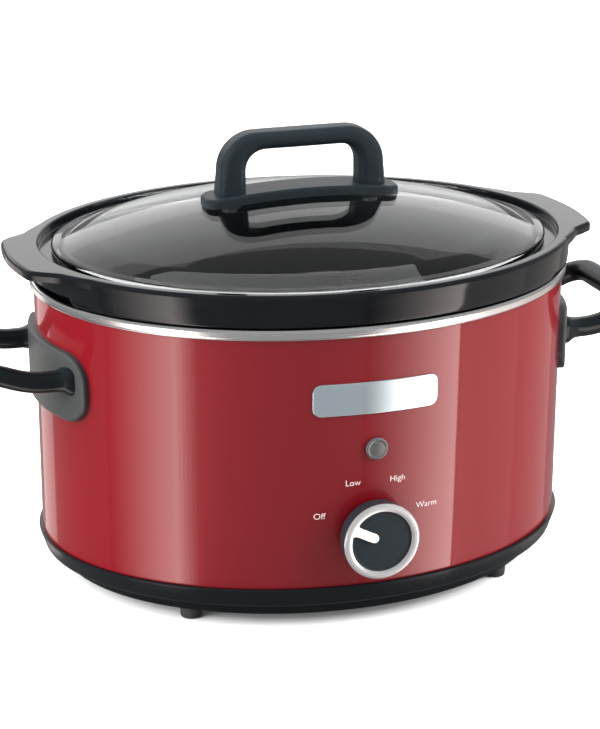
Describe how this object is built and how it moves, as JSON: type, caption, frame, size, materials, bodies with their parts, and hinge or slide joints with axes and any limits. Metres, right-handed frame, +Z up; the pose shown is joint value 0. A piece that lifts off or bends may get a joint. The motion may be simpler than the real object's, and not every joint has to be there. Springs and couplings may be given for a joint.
{
  "type": "slow cooker",
  "caption": "Oval slow cooker: painted shell with side handles, a turning heat dial, a lift-out glazed stoneware pot and a domed glass lid with a bail handle.",
  "frame": {"origin": "on the worktop, under the middle of the oval casing", "axes": "+Z up, X along the oval's long axis with a carrying handle at each end, the control dial faces -Y and the cord gland faces +Y"},
  "size_m": [0.397, 0.268, 0.2442],
  "materials": {
    "red_paint": "gloss metallic red paint on steel",
    "glazed_stoneware": "gloss black glaze",
    "bright_steel": "satin bright rolled steel",
    "pan_steel": "dull aluminised steel",
    "black_plastic": "fine satin moulded black",
    "handle_plastic": "smooth satin moulded black",
    "knob_plastic": "smooth black",
    "plated_trim": "satin silver plating",
    "badge_metal": "brushed, blank",
    "clear_glass": "clear tempered glass",
    "lamp_lens": "smoky translucent",
    "lamp_glass": "clear neon bulb",
    "foot_rubber": "matt black",
    "seal_rubber": "silicone",
    "zinc": "bright zinc plate",
    "brass": "bare",
    "mica": "mica and glass cloth heater sleeve",
    "switch_body": "moulded phenolic",
    "steatite": "unglazed ceramic",
    "lead_sleeve": "woven glass sleeve"
  },
  "bodies": {
    "housing": {"outer_shell": "red_paint", "base_ring": "black_plastic", "bottom_plate": "pan_steel", "feet": "foot_rubber", "bottom_screws": "zinc", "well_posts": "zinc", "heating_well": "pan_steel", "rim_band": "bright_steel", "heater_band": "mica", "heater_straps": "zinc", "heater_terminals": "brass", "thermal_fuse": "plated_trim", "fuse_clip": "zinc", "control_bracket": "zinc", "rotary_switch": "switch_body", "switch_nut": "brass", "lamp_lens": "lamp_lens", "lamp_clip": "zinc", "neon_lamp": "lamp_glass", "badge_plate": "badge_metal", "side_handle_left": "handle_plastic", "side_handle_right": "handle_plastic", "handle_screws": "zinc", "handle_washers": "zinc", "cord_gland": "black_plastic", "terminal_block": "steatite", "lead_block_to_fuse": "lead_sleeve", "lead_fuse_to_switch": "lead_sleeve", "lead_switch_to_heater": "lead_sleeve", "lead_block_to_heater": "lead_sleeve"},
    "dial": {"control_knob": "knob_plastic", "knob_ring": "plated_trim", "switch_shaft": "zinc"},
    "pot": {"crock": "glazed_stoneware"},
    "lid": {"lid_glass": "clear_glass", "lid_handle": "black_plastic", "lid_screws": "zinc", "lid_washers": "seal_rubber"}
  },
  "joints": [
    {"name": "dial_turn", "type": "hinge", "parent": "housing", "child": "dial", "pos_m": [0, -0.124, 0.0522], "axis": [0, 1, 0], "range_deg": [0, 135]},
    {"name": "pot_lift", "type": "slide", "parent": "housing", "child": "pot", "axis": [0, 0, 1], "range_m": [0, 0.16]},
    {"name": "lid_lift", "type": "slide", "parent": "pot", "child": "lid", "axis": [0, 0, 1], "range_m": [0, 0.12]}
  ]
}
